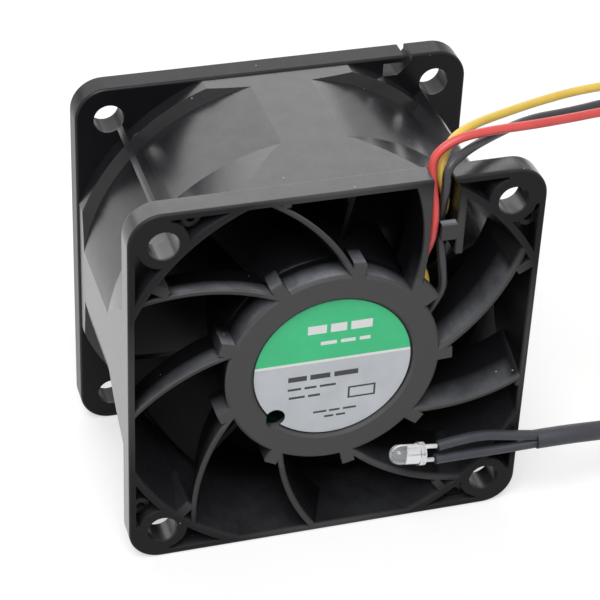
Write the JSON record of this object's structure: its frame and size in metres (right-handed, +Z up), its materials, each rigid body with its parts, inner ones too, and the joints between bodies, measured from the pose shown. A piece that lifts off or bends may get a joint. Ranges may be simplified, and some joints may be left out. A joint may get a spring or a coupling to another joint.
{
  "type": "cooling fan",
  "caption": "Square axial server fan with swept outlet guide vanes around a labelled motor base, twisted impeller blades, coloured leads and a small indicator lamp.",
  "frame": {"origin": "on the surface the fan stands on, under the middle of the housing", "axes": "+Z up, -Y out of the label side (the outlet), +X towards the leads' connector"},
  "size_m": [0.113, 0.0416, 0.0655],
  "materials": {
    "frame_plastic": "satin moulded",
    "impeller_plastic": "satin moulded",
    "label_film": "coated film, green and silver",
    "brass": "turned",
    "bearing_steel": "ground and polished",
    "core_steel": "stamped",
    "insulator_nylon": "natural nylon",
    "copper": "enamelled copper wire",
    "board_laminate": "solder resist",
    "chip_epoxy": "moulded epoxy",
    "capacitor_ceramic": "fired",
    "tin": "tinned",
    "magnet": "bonded ferrite",
    "lead_red": "smooth insulation",
    "lead_black": "smooth insulation",
    "lead_yellow": "smooth insulation",
    "lamp_epoxy": "clear cast epoxy",
    "sleeve_rubber": "shrunk sleeve",
    "connector_nylon": "natural nylon"
  },
  "bodies": {
    "frame": {"housing": "frame_plastic", "label": "label_film", "bearing_tube": "brass", "front_outer_race": "bearing_steel", "rear_outer_race": "bearing_steel", "front_bearing_shields": "bearing_steel", "rear_bearing_shields": "bearing_steel", "stator_core": "core_steel", "front_insulator": "insulator_nylon", "rear_insulator": "insulator_nylon", "windings": "copper", "circuit_board": "board_laminate", "drive_chip": "chip_epoxy", "switching_transistors": "chip_epoxy", "capacitors": "capacitor_ceramic", "position_sensor": "chip_epoxy", "solder_joints": "tin", "red_lead": "lead_red", "black_lead": "lead_black", "yellow_lead": "lead_yellow", "lamp_lens": "lamp_epoxy", "lamp_legs": "tin", "lamp_sleeves": "sleeve_rubber", "lamp_cable": "sleeve_rubber", "connector_housing": "connector_nylon", "connector_terminals": "tin"},
    "rotor": {"impeller": "impeller_plastic", "rotor_yoke": "core_steel", "ring_magnet": "magnet", "hub_bush": "brass", "shaft": "bearing_steel", "retaining_clip": "core_steel", "preload_spring": "bearing_steel", "front_inner_race": "bearing_steel", "rear_inner_race": "bearing_steel"},
    "front_ball_set": {"front_balls": "bearing_steel"},
    "rear_ball_set": {"rear_balls": "bearing_steel"}
  },
  "joints": [
    {"name": "rotor_spin", "type": "hinge", "parent": "frame", "child": "rotor", "pos_m": [0, 0, 0.03], "axis": [0, 1, 0], "continuous": true},
    {"name": "front_balls_roll", "type": "hinge", "parent": "frame", "child": "front_ball_set", "pos_m": [0, 0, 0.03], "axis": [0, 1, 0], "continuous": true},
    {"name": "rear_balls_roll", "type": "hinge", "parent": "frame", "child": "rear_ball_set", "pos_m": [0, 0, 0.03], "axis": [0, 1, 0], "continuous": true}
  ],
  "couplings": [
    {"joint": "front_balls_roll", "follows": "rotor_spin", "ratio": 0.3545},
    {"joint": "rear_balls_roll", "follows": "rotor_spin", "ratio": 0.3545}
  ]
}
